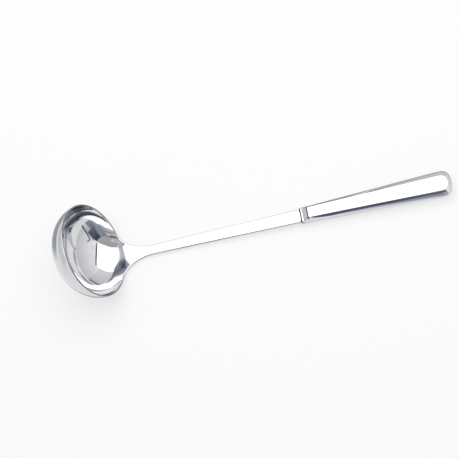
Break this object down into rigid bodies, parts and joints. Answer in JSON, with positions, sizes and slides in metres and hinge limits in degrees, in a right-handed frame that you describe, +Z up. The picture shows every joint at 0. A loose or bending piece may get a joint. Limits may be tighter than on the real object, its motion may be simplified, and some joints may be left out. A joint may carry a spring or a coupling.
{
  "type": "sauce ladle",
  "caption": "Polished steel sauce ladle: a round bowl set at an angle on a slim flat stem, with a hollow panelled handle that widens to a rounded end.",
  "frame": {"origin": "middle of the ladle's outline in plan, on the surface that the ladle lies on", "axes": "+X along the ladle from the bowl to the end of the handle, +Z up from the surface, with the mouth of the bowl facing +X and up"},
  "size_m": [0.2894, 0.07, 0.0651],
  "materials": {
    "bowl_polish": "mirror polished stainless steel",
    "handle_polish": "mirror polished stainless steel with fine lengthwise polishing lines",
    "weld_bead": "ground and polished weld seam",
    "braze_filler": "rough cast filler metal"
  },
  "bodies": {
    "root": {"bowl_and_stem": "bowl_polish", "handle_upper_shell": "handle_polish", "handle_lower_shell": "handle_polish", "seam_weld": "weld_bead", "tang_braze": "braze_filler"}
  },
  "joints": []
}
